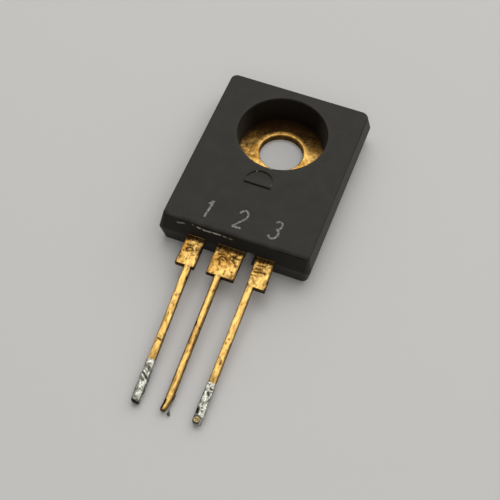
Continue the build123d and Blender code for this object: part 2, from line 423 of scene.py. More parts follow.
strip_thickness = 0.5
strip_rounding = 0.05
rounding_run = 0.4
end_row_gap = 0.02
crumples = ((0.028, 0.6), (0.025, 0.26), (0.016, 0.12))
tail_wave_depth = 0.011
underside_depth = 0.02
ragged_depth = 0.012
paddle_length = 2.7
tail_width = 0.58
tail_bend_radius = 3.0
post_reach = 3.0
post_length = 1.3
neck_length = 0.7
neck_width = 0.9
post_width = 2.0
joggle_start = 0.7
joggle_length = 0.8
joggle_radius = 0.4
foot_lift = 0.05
tip_clearance = 0.13
parting_height = 1.6

case_low, case_high = box_of("moulded_case")
case_near = case_low[1]
paddle_end = case_near - paddle_length
lead_tip = box_of("emitter_lead")[0][1]
tip_middle = tip_clearance + strip_thickness / 2


def unit(vector):
    """Vector of length 1 that points the same way."""
    return vector / np.linalg.norm(vector)


def bent_path(corners, radii):
    """Side view of a strip as (y, z, slope angle) for rising y: straight runs between corners,
    with each corner cut by an arc that touches both runs."""
    line = [np.array(corners[0])]
    for before, corner, after, radius in zip(corners, corners[1:], corners[2:], radii):
        before, corner, after = map(np.array, (before, corner, after))
        inward, outward = unit(before - corner), unit(after - corner)
        half = math.acos(np.clip(inward @ outward, -1, 1)) / 2
        middle = corner + unit(inward + outward) * radius / math.sin(half)
        sweep = np.linspace(-1, 1, 9) * (math.pi / 2 - half)
        to_corner = unit(corner - middle)
        across = unit(inward - (inward @ to_corner) * to_corner)
        line += [middle + radius * (math.cos(a) * to_corner - math.sin(a) * across) for a in sweep]
    line = np.array(line + [np.array(corners[-1])])[::-1]
    middles = (line[1:, 0] + line[:-1, 0]) / 2
    slopes = np.arctan2(np.diff(line[:, 1]), np.diff(line[:, 0]))
    return line[:, 0], line[:, 1], middles, slopes


def strip_rim(across, down, corner):
    """Once round a rounded rectangle, as where each point lies on the straight parts, from -1 to
    1 across and up, and the direction in which its corner radius is added."""
    arc = np.linspace(0, math.pi / 2, corner + 2)[1:-1]
    sine, cosine = np.sin(arc), np.cos(arc)
    top = (np.linspace(-1, 1, across), 1, 0, 1)
    side = (1, np.linspace(1, -1, down), 1, 0)
    parts = (top, (1, 1, sine, cosine), side, (1, -1, cosine, -sine))
    half = np.hstack([np.stack(np.broadcast_arrays(*part)) for part in parts])
    return np.hstack([half, -half])


def strip_grid(runs, path, tail_rounding, rim, spacing):
    """Grid of a lead: the rim of its section carried along its side view. A run is straight in
    plan between two places and their left and right edges, with a row close to each end, and a
    step in width is two rows at one place. Returns the points, which way is sideways and which
    is upward at each, how high it lies in the strip from -1 to 1, and its place along it."""
    rows = []
    for start, end, edges_start, edges_end in runs:
        count = max(2, math.ceil(abs(end - start) / spacing) + 1)
        close = min(end_row_gap / abs(end - start), 0.2)
        share = np.unique(np.r_[np.linspace(0, 1, count), close, 1 - close])[:, None]
        first, last = np.array([start, *edges_start]), np.array([end, *edges_end])
        rows.append(first + (last - first) * share)
    rows = np.concatenate(rows)
    rows = rows[np.r_[True, abs(np.diff(rows, axis=0)).sum(axis=1) > 1e-7]]
    place, left, right = rows.T[..., None]
    flat, up, round_out, round_up = rim
    radius = np.interp(place, [paddle_end - rounding_run, paddle_end], [tail_rounding, strip_rounding])
    radius = np.minimum(radius, (right - left) / 2 - 0.01)
    sideways = (left + right) / 2 + flat * ((right - left) / 2 - radius) + radius * round_out
    raised = up * (strip_thickness / 2 - radius) + radius * round_up
    path_y, path_z, middles, slopes = path
    slope = np.interp(place, middles, slopes)
    y = place - raised * np.sin(slope)
    z = np.interp(place, path_y, path_z) + raised * np.cos(slope)
    grid = np.stack([sideways, np.broadcast_to(y, sideways.shape), z], axis=-1)
    outward = np.broadcast_to(round_out, sideways.shape)
    normal = np.stack([np.zeros_like(slope), -np.sin(slope), np.cos(slope)], axis=-1)
    return grid, outward, normal, raised / (strip_thickness / 2), np.broadcast_to(place, sideways.shape)


post_far = case_near + post_reach
tail_corners = [(paddle_end, parting_height), (lead_tip, tip_middle)]
outer_path = bent_path([(post_far, parting_height)] + tail_corners, [tail_bend_radius])
foot_far = box_of("collector_lead")[1][1]
foot_near = case_near + joggle_start + joggle_length
foot_middle = plate_top + foot_lift + strip_thickness / 2
foot_corners = [
    (foot_far, foot_middle), (foot_near, foot_middle), (foot_near - joggle_length, parting_height)
]
collector_path = bent_path(
    foot_corners + tail_corners, [joggle_radius, joggle_radius, tail_bend_radius]
)


def tail_edges(middle):
    """Left and right edge of a tail about its middle."""
    return middle - tail_width / 2, middle + tail_width / 2


def outer_runs(exit_edges, end_edges, tail):
    """Plan of a base or emitter lead, from its bonding post to its tip."""
    middle = sum(exit_edges) / 2
    post_near = post_far - post_length
    shank_far = post_near - neck_length
    post = (middle - post_width / 2, middle + post_width / 2)
    neck = (middle - neck_width / 2, middle + neck_width / 2)
    return [
        (post_far, post_near, post, post),
        (post_near, shank_far, neck, neck),
        (shank_far, case_near, exit_edges, exit_edges),
        (case_near, paddle_end, exit_edges, end_edges),
        (paddle_end, lead_tip, tail_edges(tail[0]), tail_edges(tail[1])),
    ]


def dress_lead(name, node, runs, path, marks, seed, tail_rounding=strip_rounding, bow=0, side_from=0.8):
    """Stamped strip with a crumpled wide part: random dents in three sizes and the marks that are given,
    then a tail with shallow waves. It is brown in the deeper dents, in patches and in streaks. Painted
    shade darkens the edges of the wide part and of the tail, its sheared sides and ends and its lower
    half. A painted reflection of the black case darkens it most of all next to the case."""
    rim = strip_rim(across=34, down=7, corner=4)
    grid, outward, normal, lift, y = strip_grid(runs, path, tail_rounding, rim, spacing=0.06)
    x = grid[..., 0]
    flat = grid * [1, 1, 0.4]
    wide = np.interp(y, [paddle_end - 0.35, paddle_end, case_near - 0.35, case_near], [0.25, 1, 1, 0])
    tail = np.interp(y, [lead_tip, paddle_end, paddle_end + 0.3], [1, 1, 0])
    dent = wide * sum(depth * bumps(flat, size, seed + n) for n, (depth, size) in enumerate(crumples))
    dent += tail_wave_depth * tail * bumps(flat * [1, 0.35, 1], 0.3, seed + 3)
    lower_part = held((paddle_end + 1.3 - y) / 0.5)
    tarnish_and_shade = (0.7 - 0.3 * lower_part) * held(-dent / 0.03 - 0.15) * wide
    patches = held(bumps(flat, 0.19, seed + 10) - 0.25)
    tarnish_and_shade += (0.35 - 0.25 * lower_part) * wide * patches
    streaks = bumps(flat * [1, 0.12, 1], 0.13, seed + 8)
    # The tail is browner towards its edges, as painted shade, and in streaks of tarnish.
    tarnish_and_shade += 0.5 * tail * held(abs(rim[0]) ** 3 * 0.8 + 0.45 * streaks)
    # Painted shade darkens the wide part's top along its edges.
    tarnish_and_shade += 0.5 * wide * held((abs(rim[0]) - 0.9) / 0.1)
    uneven = np.clip(0.92 + 0.5 * bumps(flat, 0.17, seed + 9), 0.2, 1)
    dent, tarnish_and_shade = marked(marks, x, y, dent, tarnish_and_shade, uneven)
    under = underside_depth * wide * bumps(flat, 0.4, seed + 4)
    grid = grid + normal * (held(lift) * dent - held(-lift) * under)[..., None]
    ragged = ragged_depth * bumps(grid, 0.22, seed + 5) * (wide + 0.6 * tail)
    grid[..., 0] += outward * ragged
    tip_share = (y - lead_tip) / (paddle_end - lead_tip)
    grid[..., 0] -= bow * (1 - held(tip_share / 0.1)) ** 2
    # A painted reflection and shade of the black case darkens the wide part next to it.
    case_reflection = held((y - case_near + 0.53 + 0.1 * bumps(grid, 0.3, seed + 6)) / 0.2)
    tarnish_and_shade = np.maximum(tarnish_and_shade, 0.88 * case_reflection * (y < case_near))
    # Painted shade darkens the sheared sides and the ends.
    sheared = held((abs(outward) - side_from) / (1.001 - side_from)) ** 2
    sheared *= 0.8 + 0.2 * bumps(grid * [1, 0.4, 1], 0.3, seed + 7)
    ends = (abs(y - paddle_end) < 0.001) | (abs(y - lead_tip) < 0.001)
    tarnish_and_shade = np.maximum(tarnish_and_shade, np.where(ends, 0.85, 0.85 * sheared) * (y < case_near))
    # Painted shade darkens the strip's lower half.
    tarnish_and_shade = np.maximum(tarnish_and_shade, 0.35 * held(-lift))
    rubbed = np.maximum(0.7 * tail, 0.45 * lower_part)
    grid_piece(name, grid, lead_gold, [node], {"tarnish_and_shade": tarnish_and_shade, "rubbed": rubbed})


lead_gold = gold_plate("lead_gold", cloud_size=0.8, drawn_out=0.12, shine=(0.3, 0.46), fine_grime=0.3)

# Cuts of the tool, specks and rubbed spots, as depth, darkness, width and line.
emitter_marks = [
    (0.05, 0.9, 0.06, [(-3.49, -12.12), (-3.34, -12.06), (-3.14, -12.13), (-3.01, -12.06)]),
    (0.05, 0.85, 0.055, [(-3.44, -12.51), (-3.26, -12.36), (-3.01, -12.34), (-2.95, -12.47)]),
    (0.05, 0.85, 0.055, [(-2.95, -12.47), (-3.13, -12.62), (-3.35, -12.7), (-3.44, -12.51)]),
    (0.04, 0.8, 0.07, [(-3.6, -12.73)]),
    (0.03, 0.6, 0.06, [(-3.69, -12.2)]),
    (0.05, 0.85, 0.06, [(-2.73, -12.28), (-2.58, -12.43)]),
    (0.04, 0.7, 0.06, [(-2.82, -12.6)]),
    (0.03, 0.8, 0.09, [(-3.71, -13.35)]),
    (0.04, 0.7, 0.07, [(-3.12, -13.43)]),
    (0.04, 0.6, 0.07, [(-2.87, -13.3)]),
    (0.03, 0.6, 0.06, [(-2.42, -13.15)]),
    (0.02, 0.4, 0.16, [(-2.81, -12.93)]),
    (0.02, 0.4, 0.08, [(-2.65, -11.84)]),
    (-0.03, 0, 0.05, [(-3.42, -12.28), (-3.01, -12.23)]),
    (0.03, 0.9, 0.09, [(-2.67, -16.6)]),
    (0.05, 0.8, 0.1, [(-2.31, -18.1)]),
    (0.05, 0.9, 0.06, [(-2.6, -20.35), (-2.3, -20.42)]),
    (0, 0.5, 0.3, [(-2.3, -21.7), (-2.27, -22.1)]),
    (0, 0.9, 0.08, [(-2.55, -21.75)]),
]
collector_marks = [
    (0.05, 0.8, 0.06, [(-0.87, -12.04), (-0.6, -11.99), (-0.4, -11.96)]),
    (0.05, 0.8, 0.05, [(-0.74, -12.46), (-0.71, -12.31), (-0.58, -12.17), (-0.5, -12.22)]),
    (0.06, 0.95, 0.055, [(-0.55, -12.42), (-0.41, -12.53), (-0.24, -12.55)]),
    (0.05, 0.8, 0.07, [(-0.73, -12.51), (-0.66, -12.68), (-0.52, -12.79), (-0.54, -12.91)]),
    (0.03, 0.6, 0.05, [(-0.53, -12.82), (-0.44, -13.06)]),
    (0.05, 0.6, 0.07, [(-0.31, -12.18), (-0.16, -12.26), (-0.15, -12.37)]),
    (0.04, 0.6, 0.05, [(0.05, -12.04), (0.17, -12.27)]),
    (0.06, 0.9, 0.07, [(0.33, -12.21), (0.51, -12.42), (0.76, -12.71)]),
    (0.02, 0.45, 0.18, [(0.05, -12.5), (0.26, -12.66)]),
    (-0.03, 0, 0.05, [(-0.6, -12.46), (-0.51, -12.59)]),
    (-0.03, 0, 0.05, [(-0.48, -12.3), (-0.31, -12.38)]),
    (-0.04, 0, 0.05, [(-0.37, -12.15)]),
    (-0.03, 0, 0.05, [(0.03, -12.22)]),
    (-0.03, 0, 0.05, [(-0.1, -11.88), (0.13, -12.06)]),
    (0.03, 0.5, 0.14, [(-0.95, -12.66)]),
    (0.05, 0.8, 0.07, [(-0.34, -13.44)]),
    (0.07, 1, 0.07, [(0.64, -13.31)]),
    (0.04, 0.5, 0.06, [(0.18, -13.72)]),
    (0.03, 0.5, 0.07, [(0.01, -13)]),
    (0.03, 0.4, 0.06, [(0.75, -12.32)]),
    (0.03, 0.5, 0.08, [(0.67, -13.81)]),
    (0.06, 0.5, 0.09, [(1, -13.35), (0.97, -13.5)]),
    (0, 1, 0.09, [(0.32, -23.85)]),
    (0.02, 2.5, 0.1, [(-0.16, -24.66), (-0.17, -25.3)]),
    (0, 0.9, 0.05, [(-0.1, -25.43), (0.15, -25.43)]),
]
base_marks = [
    (0.05, 0.85, 0.055, [(2.37, -11.97), (2.69, -11.92), (2.92, -11.85)]),
    (0.05, 0.8, 0.055, [(2.29, -12.28), (2.48, -12.23)]),
    (0.04, 0.6, 0.05, [(2.74, -12.15), (2.79, -12.31)]),
    (0.06, 0.95, 0.055, [(2.27, -12.61), (2.51, -12.57), (2.77, -12.49), (3.1, -12.51)]),
    (0.04, 0.75, 0.06, [(2.15, -12.96), (2.35, -12.95), (2.53, -12.91)]),
    (0.03, 0.6, 0.06, [(2.34, -13.13), (2.4, -13.3), (2.67, -13.69)]),
    (0.02, 0.4, 0.07, [(2.65, -13.06)]),
    (0.03, 0.55, 0.09, [(3.37, -13.07), (3.37, -13.59)]),
    (0.02, 0.4, 0.07, [(3.22, -11.86)]),
    (-0.03, 0, 0.05, [(2.47, -12.41), (2.72, -12.36)]),
    (0.03, 0.8, 0.07, [(2.5, -18.62)]),
    (0.03, 0.7, 0.07, [(2.41, -19.02)]),
    (0.03, 0.7, 0.08, [(2.56, -20.44), (2.6, -20.7)]),
    (0, 0.45, 0.3, [(2.55, -21.9), (2.57, -22.3)]),
    (0, 0.95, 0.08, [(2.37, -22.15)]),
]

# Edges where a lead leaves the case and where its wide part ends, and the tail's middle at its
# two ends. The leads were bent a little sideways, each by its own amount.
emitter_tail = (-2.74, -2.22)
base_tail = (2.42, 2.62)
collector_exit, collector_end, collector_tail = (-1.31, 1.01), (-1.25, 1.04), (-0.24, 0.04)
emitter_runs = outer_runs((-3.82, -2.33), (-3.83, -2.23), emitter_tail)
base_runs = outer_runs((1.95, 3.46), (2.13, 3.63), base_tail)
dress_lead("lead_emitter", "emitter_lead", emitter_runs, outer_path, emitter_marks, 11)
dress_lead("lead_base", "base_lead", base_runs, outer_path, base_marks, 31)

tip_start = lead_tip + 1.3
tip_turn = lead_tip + 0.14
tip_edges = tail_edges(collector_tail[1])
slim_edges = (tip_edges[0] + 0.04, tip_edges[1] - 0.1)
end_edges = (tip_edges[0] + 0.1, tip_edges[1] - 0.18)
collector_runs = [
    (foot_far, case_near, collector_exit, collector_exit),
    (case_near, paddle_end, collector_exit, collector_end),
    (paddle_end, tip_start, tail_edges(collector_tail[0]), tip_edges),
    (tip_start, tip_turn, tip_edges, slim_edges),
    (tip_turn, lead_tip, slim_edges, end_edges),
]
dress_lead(
    "lead_collector", "collector_lead", collector_runs, collector_path, collector_marks, 51,
    tail_rounding=0.13, bow=0.1, side_from=0.2,
)


# Bonding wires
# Round aluminium wire, pressed flat by ultrasound at both ends. One joins the chip's emitter to
# its post and a thinner one its base, and both arch clear of the chip's edge.

aluminium = Finish("aluminium", metallic=1, roughness=0.32)
cloud(aluminium, 0.1, 3, 0.3, 0.7, (0.62, 0.62, 0.63), (0.8, 0.8, 0.8))
grit(aluminium, 0.05, 2, 0.003, 0.5)
refinish("emitter_wire", aluminium)
refinish("base_wire", aluminium)


# Junction gel
# A drop of silicone gel, put on before moulding, that keeps the stiff case off the chip and the
# feet of the wires. It is clear and slightly milky.

gel = Finish("gel", roughness=0.12)
cloud(gel, 0.8, 2, 0.3, 0.7, (0.72, 0.74, 0.72), (0.86, 0.87, 0.85))
gel.shader.inputs["Transmission Weight"].default_value = 0.7
gel.shader.inputs["IOR"].default_value = 1.41
refinish("junction_gel", gel)


# Moulded case
# Black epoxy moulded round everything above, with a two-way draft from the parting line, a deep
# recess for the screw head and the half-moon of an ejector pin. Its near edge is chipped.

front = 3.2
case_draft = 9.0
parting_radii = (0.5, 0.45, 0.17, 0.2)
front_radii = (0.55, 0.65, 0.4, 0.4)
back_radii = (0.6, 0.65, 0.35, 0.5)
edge_rounding = 0.1
recess_radius = 3.74
recess_floor_radius = 3.54
rim_rounding = 0.07
moon_radius = 1.16
moon_x = -0.1
moon_y = -5.4
moon_chord = -5.74
moon_rise = 0.05
moon_sink = 0.06
chord_depth = 0.05
flash_depth = 0.06
chip_right = 1.87
chip_width = 0.85
chip_top = 2.08
chip_shift = 0.2268
chip_slope = 0.6009
chip_rounding = 0.15
slant = math.tan(math.radians(case_draft))
case_sides = (case_low[0], case_high[0], case_low[1], case_high[1])


def case_reach(angle, height, extra=0):
    """Distance to the case's outline at a height: the sides are drawn in by the draft, and its
    corners grow rounder from the parting line to the faces. Extra draws it in further."""
    upper = height > parting_height
    away = (height - parting_height) / ((front if upper else 0) - parting_height)
    inset = abs(height - parting_height) * slant + extra
    sides = tuple(side - math.copysign(inset, side) for side in case_sides)
    ends = front_radii if upper else back_radii
    radii = [tight + (wide - tight) * away - extra for tight, wide in zip(parting_radii, ends)]
    return reach(angle, sides, [max(radius, 0.03) for radius in radii])


def case_angles(spacing, close_spacing):
    """Angles at which the outline is cut into even lengths, closer together under the half-moon
    and where the near edge is chipped, with a pair at each side of the broken-out piece."""
    fine = np.linspace(-math.pi / 2 - 0.01, 1.5 * math.pi - 0.01, 20001)
    distance = case_reach(fine, parting_height)
    x, y = distance * np.cos(fine), distance * np.sin(fine)
    step = np.hypot(np.diff(x), np.diff(y))
    middle = (x[1:] + x[:-1]) / 2
    close = (y[1:] < case_near + 0.01) & (middle > -3.6) & (middle < 2.1)
    run = np.r_[0, np.cumsum(step / np.where(close, close_spacing, spacing))]
    angles = np.interp(np.arange(math.floor(run[-1])), run, fine)
    sides = [chip_right - chip_width, chip_right]
    pairs = [math.atan2(case_near, side + gap) for side in sides for gap in (-0.003, 0.003)]
    pairs = np.mod(np.array(pairs) - fine[0], 2 * math.pi) + fine[0]
    distinct = np.min(abs(angles[:, None] - pairs), axis=1) > 0.0015
    return np.sort(np.r_[angles[distinct], pairs])


turn = case_angles(spacing=0.13, close_spacing=0.07)
parting_x, parting_y, _ = ring(turn, case_reach(turn, parting_height), 0).T
near_side = (parting_y < case_near + 0.001) & (abs(parting_x) < 4)
chip_side = held(np.minimum(parting_x + 0.3, 2.7 - parting_x) / 0.6) * near_side


def side_row(height, extra=0):
    """One row of the drafted side. Near the broken-out piece its points are slid sideways, and
    those inside it are pushed back to the sloping face of the break."""
    row = ring(turn, case_reach(turn, height, extra), height)
    below = max(chip_top - height, 0)
    row[:, 0] += chip_side * (parting_x - row[:, 0] - chip_shift * below)
    inside = np.minimum(parting_x - chip_right + chip_width, chip_right - parting_x)
    from_round = chip_rounding - np.clip(inside, 0, chip_rounding)
    round_off = chip_rounding - np.sqrt(np.maximum(chip_rounding ** 2 - from_round ** 2, 0))
    broken = case_near + chip_slope * below - round_off
    row[:, 1] = np.where((inside > 0) & near_side, np.maximum(row[:, 1], broken), row[:, 1])
    return row


rim_rows = rounded_lip(turn, recess_radius, rim_rounding, front)
edge_turn = np.radians(90 - case_draft)
edge_height = front - edge_rounding
upper_top = edge_height + edge_rounding * math.cos(edge_turn)
edge_rows = []
for a in np.linspace(0, edge_turn, 6):
    height = edge_height + edge_rounding * math.cos(a)
    drawn_in = edge_rounding * (math.sin(edge_turn) - math.sin(a)) - (height - upper_top) * slant
    edge_rows.append(side_row(height, drawn_in))
upper_rows = [side_row(height) for height in np.linspace(upper_top, parting_height, 34)[1:]]
lower_rows = [side_row(height) for height in np.linspace(parting_height, 0, 22)[1:]]
pocket_high, pocket_low, face_high, face_low = stepped_edge(turn)
floor_edge = ring(turn, recess_floor_radius, plate_top)
face_shares = np.r_[np.linspace(0, 0.34, 52), np.linspace(0.34, 1, 36)[1:]]
case_grid = np.concatenate([
    between(floor_edge, rim_rows[0], np.linspace(0, 1, 14)[:-1]),
    rim_rows,
    between(rim_rows[-1], edge_rows[0], face_shares[1:-1]),
    np.stack(edge_rows + upper_rows + lower_rows),
    between(lower_rows[-1], face_low, 8),
    between(face_low, face_high),
    between(face_high, pocket_low),
    between(pocket_low, pocket_high),
    between(pocket_high, floor_edge, 5)[:-1],
])
x, y, z = np.moveaxis(case_grid, -1, 0)
on_front = z > front - 0.003

# The half-moon stands out at its chord and sinks in at its far end, and the face is a little wavy.
soft_edge = 0.018
behind_chord = held((y - moon_chord) / soft_edge)
from_arc = moon_radius - np.hypot(x - moon_x, y - moon_y)
in_disc = held(from_arc / (2 * soft_edge))
moon_share = (y - moon_chord) / (moon_y + moon_radius - moon_chord)
relief = behind_chord * in_disc * (moon_rise - (moon_rise + moon_sink) * moon_share)
relief -= chord_depth * stroke(x, y, [(-1.15, moon_chord + 0.01), (0.93, moon_chord + 0.01)], 0.05)
relief += 0.003 * bumps(case_grid, 2.8, 71) + 0.0015 * bumps(case_grid, 0.5, 72)
case_grid[..., 2] += np.where(on_front, relief, 0)

# A thin line of flash, pale and broken into flakes, hangs on the near side above the leads.
on_near = (y < case_near + 0.45) * (z > parting_height)
flash_line = [
    (-3.45, 3.03), (-3.04, 2.92), (-2.4, 2.83), (-1.95, 2.86), (-1.2, 2.89), (-0.68, 2.83), (-0.2, 2.8)
]
flakes = held(0.8 + 1.2 * bumps(case_grid * [1, 0, 0], 0.17, 73))
fading = np.clip((0.3 - x) / 2.2, 0.35, 1)
flash = stroke(x, z, flash_line, 0.055) * flakes * fading * on_near
corner_flash = stroke(x, z, [(-4.78, 2.75), (-4.5, 2.82), (-4.25, 2.9)], 0.05)
flash = np.maximum(flash, 0.45 * corner_flash * on_near)
case_grid[..., 1] -= flash_depth * flash

# Painted shade lies along the top of the flash, on the half-moon's chord and arc, along the top edges
# and over the upper near face. Pale wear shows on the flash and in three nicks, and painted light lifts
# the recess's side walls and the case's outer sides. Painted shade darkens the recess.
above_flash = [(place, height + 0.13) for place, height in flash_line]
# Painted shadow runs along the top of the flash.
darkening = 0.8 * stroke(x, z, above_flash, 0.06) * on_near
# Painted shade lines the half-moon's chord and arc.
chord_shade = stroke(x, y, [(-1.2, moon_chord + 0.02), (0.96, moon_chord + 0.02)], 0.09)
arc_share = held(1.25 - np.clip((x - 0.3) / 0.7, 0, 1.25) - np.clip((-5.0 - y) / 0.25, 0, 1.25))
arc_shade = np.exp(-((from_arc - 0.04) / 0.08) ** 2) * arc_share * (y > moon_chord)
darkening = np.maximum(darkening, np.maximum(chord_shade, 0.9 * arc_shade) * on_front)
wear_and_light = flash
nicks = [(0.035, [(-0.6, -4.38)]), (0.04, [(0.25, -3.78), (0.42, -3.76)]), (0.025, [(0.93, -5.35)])]
for width, points in nicks:
    wear_and_light = np.maximum(wear_and_light, 0.6 * stroke(x, y, points, width) * on_front)
from_axis = np.hypot(x, y)
in_recess = (from_axis < recess_radius - 0.005) & (z > 0.3)
# Painted shade lies along the top edges, most on the near side.
edge_shade = np.exp(-((z - front + 0.05) / 0.06) ** 2) * (from_axis > 4)
edge_shade *= np.where(y < case_near + 0.6, 0.9, 0.15)
darkening = np.maximum(darkening, edge_shade * held(0.8 + bumps(case_grid, 0.6, 74)))
# The upper near face is painted darker as shade.
darkening = np.maximum(darkening, 0.4 * on_near)
# Painted light lifts the recess's side walls, more on the right.
wall_light_reach = np.where(x > 0, 2.6, 1.3)
side_wall = in_recess * held((abs(x) - 2.0) / 1.1) * held(wall_light_reach - y / 1.5)
wall_light = np.where(x > 0, 0.055, 0.035) * side_wall
wear_and_light = np.maximum(wear_and_light, wall_light * (0.85 + 0.15 * bumps(case_grid, 0.6, 76)))
# Painted light lifts the case's outer sides.
outer_side = held((abs(x) - case_high[0] + 0.4) / 0.1) * held((front - 0.08 - z) / 0.05)
wear_and_light = np.maximum(wear_and_light, 0.03 * outer_side * (0.9 + 0.1 * bumps(case_grid, 0.8, 77)))
# Painted shade darkens the recess, most towards its far side.
recess_shade = in_recess * held(0.5 + (y + 1.2) / 2.4 + 0.15 * bumps(case_grid, 0.5, 75))

epoxy = Finish("black_epoxy", roughness=0.55)
fine = epoxy.grain(0.11, 3)
# The epoxy's own colour is mottled and flecked. Over it go painted shade in the recess and where it is
# marked dark, and pale flash and wear, with painted light on some walls.
epoxy.coats(
    (0.0205, 0.019, 0.0148),
    (epoxy.spread(epoxy.grain(1.6, 4), 0.35, 0.65), (0.0245, 0.0228, 0.0178)),
    (epoxy.spread(fine, 0.42, 0.68, 0, 0.7), (0.04, 0.0375, 0.03)),
    (epoxy.painted("recess_shade"), (0.0085, 0.0055, 0.003)),
    (epoxy.painted("darkening"), (0.003, 0.0025, 0.002)),
    (epoxy.painted("wear_and_light"), (0.75, 0.68, 0.57)),
)
matt = epoxy.spread(epoxy.painted("darkening"), 0, 1, 0, 0.4)
epoxy.set("Roughness", epoxy.sum_of(epoxy.spread(fine, 0.3, 0.7, 0.5, 0.66), matt))
epoxy.shader.inputs["Specular IOR Level"].default_value = 0.22
epoxy.set("Normal", epoxy.relief(fine, 0.012, 0.35, epoxy.relief(epoxy.grain(0.9, 2), 0.01, 0.2)))
grid_piece(
    "case", case_grid, epoxy.material, ["moulded_case"],
    {"wear_and_light": wear_and_light, "darkening": darkening, "recess_shade": recess_shade}, wrap=True,
)


# Pin numbers
# Thin pale ink, stamped on the front face over each lead and half rubbed off. They number the
# leads from left to right.

ink_stroke = 0.085
ink_height = 1.7
ink_width = 0.78
ink_lean = 0.12
ink_lift = 0.004
number_middles = {1: -2.95, 2: -0.2, 3: 2.7}
number_foot = -10.1


def arc(x, y, wide, tall, start, end, count):
    """Part of an ellipse about a middle, from one angle to another in degrees."""
    around = np.radians(np.linspace(start, end, count))
    return np.stack([x + wide * np.cos(around), y + tall * np.sin(around)], axis=1)


def digit_line(digit, count=40):
    """Centre line of a digit in a box one wide and one tall, as straight runs and arcs."""
    if digit == 1:
        corners = np.array([(0.22, 0.76), (0.55, 1.0), (0.55, 0.0)])
    if digit == 2:
        corners = np.vstack([arc(0.5, 0.72, 0.44, 0.28, 165, -38, 24), [(0.06, 0), (0.96, 0)]])
    if digit == 3:
        top = arc(0.46, 0.77, 0.38, 0.23, 150, -80, 22)
        corners = np.vstack([top, arc(0.46, 0.27, 0.46, 0.27, 82, -152, 24)])
    run = np.r_[0, np.cumsum(np.hypot(*np.diff(corners, axis=0).T))]
    even = np.sort(np.r_[np.linspace(0, run[-1], count), run[1:-1]])
    even = even[np.r_[True, np.diff(even) > 1e-3]]
    return np.stack([np.interp(even, run, column) for column in corners.T], axis=1)


def ink_ribbon(digit, x_middle):
    """Flat oval section carried along a digit's centre line, just proud of the front face."""
    line = digit_line(digit) * [ink_width, ink_height]
    line[:, 0] += line[:, 1] * ink_lean - ink_width / 2
    line += [x_middle, number_foot]
    ahead = np.gradient(line, axis=0)
    ahead /= np.linalg.norm(ahead, axis=1, keepdims=True)
    aside = np.stack([-ahead[:, 1], ahead[:, 0]], axis=1)
    around = once_round(12)
    ragged = 1 + 0.22 * bumps(np.column_stack([line, np.zeros(len(line))]), 0.12, 80 + digit)
    offset = aside[:, None, :] * (ink_stroke * np.cos(around))[None, :, None] * ragged[:, None, None]
    height = front + ink_lift * (0.4 + np.sin(around))
    height = np.broadcast_to(height, offset.shape[:2]) + ink_lift
    return np.concatenate([line[:, None, :] + offset, height[..., None]], axis=-1)


ink = Finish("pale_ink", roughness=0.7)
cloud(ink, 0.16, 4, 0.4, 0.62, (0.09, 0.09, 0.083), (0.27, 0.275, 0.25))
grit(ink, 0.08, 2, 0.004, 0.4)
for digit, x_middle in number_middles.items():
    grid_piece(f"pin_number_{digit}", ink_ribbon(digit, x_middle), ink.material)


# Old solder on the outer lead ends
# Tin and lead solder that stayed on when the part was taken off its board. It is lumpy, thicker
# in drops, and holds burnt flux in its hollows.

solder_overrun = 0.15
solder_skin = 0.06
corner_power = 8.0
floor_gap = 0.03
out_of_reach = 9.0


def solder_grid(tail, length, drops, seed):
    """Skin round the end of a tail: the section is a rounded square, on which the eighth powers of both
    offsets add up to 1. It is carried to the tip and drawn in over a round end, and is thicker by random
    lumps and by the given drops. Flux lies in the marks and random hollows, and some marks are painted
    shade."""
    top = np.array([tail[0], paddle_end, parting_height])
    tip = np.array([tail[1], lead_tip, tip_middle])
    down = unit(tip - top)
    across_up = np.stack([[1, 0, 0], unit(np.cross([1, 0, 0], -down))])
    along = np.linspace(-length, solder_overrun, 96)
    around = once_round(72)
    end = held((along + 0.02) / (solder_overrun + 0.02))
    drawn_in = np.sqrt(np.maximum(1 - end ** 2.6, 0.0)) * 0.94 + 0.06
    start = held((along + length) / 0.12)
    out = np.stack([np.cos(around), np.sin(around)])
    size = (abs(out) ** corner_power).sum(axis=0) ** (-1 / corner_power)
    core = out * [[tail_width / 2], [strip_thickness / 2]] * size
    middle = tip + down * along[:, None]
    points = middle[:, None] + drawn_in[:, None, None] * core.T @ across_up
    thick = solder_skin * (1.05 + 0.75 * bumps(points, 0.5, seed) + 0.45 * bumps(points, 0.24, seed + 1))
    offset = along[:, None] * np.ones_like(around)
    side = np.where(out[1] > -0.2, core[0], out_of_reach) * np.ones_like(along)[:, None]
    thick, flux = marked(drops, side, offset, thick, np.zeros(thick.shape))
    thick = np.clip(thick, 0.02, 0.15) * (0.25 + 0.75 * start[:, None]) * (0.4 + 0.6 * drawn_in[:, None])
    shell = points + thick[..., None] * out.T @ across_up
    flux = np.maximum(flux, 0.9 * held(-bumps(points, 0.33, seed + 2) - 0.45) / 0.55)
    shell[..., 2] = np.maximum(shell[..., 2], floor_gap)
    return shell, flux, offset, side


old_solder = Finish("old_solder", metallic=1, roughness=0.3)
crust = old_solder.grain(0.14, 4)
old_solder.coats(
    (0.2, 0.2, 0.16),
    (old_solder.spread(crust, 0.3, 0.65), (0.54, 0.545, 0.48)),
    (old_solder.painted("flux"), (0.02, 0.016, 0.01)),
    (old_solder.painted("bare"), (0.5, 0.36, 0.16)),
)
old_solder.set("Roughness", old_solder.spread(crust, 0.35, 0.65, 0.42, 0.2))
old_solder.set("Normal", old_solder.relief(crust, 0.035, 0.8))

